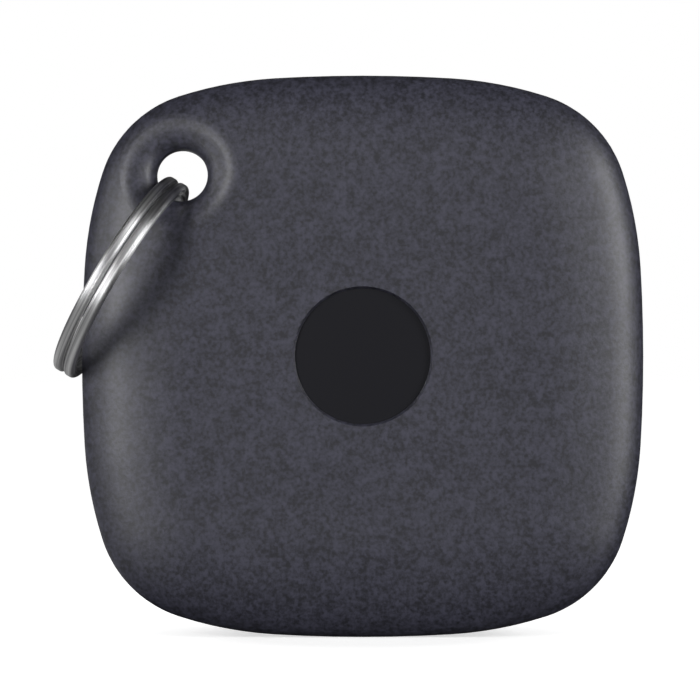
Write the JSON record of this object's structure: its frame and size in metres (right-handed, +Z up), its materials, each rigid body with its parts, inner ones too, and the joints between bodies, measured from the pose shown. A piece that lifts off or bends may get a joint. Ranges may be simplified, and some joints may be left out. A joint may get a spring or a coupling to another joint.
{
  "type": "rfid key fob",
  "caption": "Flat rounded-square contactless key fob with a corner key hole, a round polished recess, and a split ring that swings through the hole.",
  "frame": {"origin": "middle of the key hole, on the plane where the two covers meet", "axes": "+Y out of the back, -Y out of the front, +Z up with the key hole in the upper left corner as seen from the front"},
  "size_m": [0.0399, 0.0152, 0.038],
  "materials": {
    "cover_plastic": "fine spark-eroded texture",
    "enamelled_copper": "enamelled copper wire",
    "adhesive_foam": "foam tape",
    "board_laminate": "glass-epoxy laminate",
    "gold_contact": "gold plate",
    "silicon": "polished die",
    "encapsulant": "cured epoxy",
    "solder": "tin solder",
    "ceramic": "sintered ceramic",
    "nickel_steel": "bright nickel plate"
  },
  "bodies": {
    "fob": {"front_cover": "cover_plastic", "rear_cover": "cover_plastic", "antenna_coil": "enamelled_copper", "coil_adhesive_pads": "adhesive_foam", "chip_board": "board_laminate", "board_adhesive_pad": "adhesive_foam", "contact_pads": "gold_contact", "tag_chip": "silicon", "bond_wires": "gold_contact", "chip_encapsulant": "encapsulant", "solder_joints": "solder", "tuning_capacitor": "ceramic", "capacitor_terminals": "solder"},
    "split_ring": {"split_ring": "nickel_steel"}
  },
  "joints": [
    {"name": "ring_swing", "type": "hinge", "parent": "fob", "child": "split_ring", "pos_m": [0, 0, 0], "axis": [0, 1, 0], "range_deg": [0, 207.5]}
  ]
}
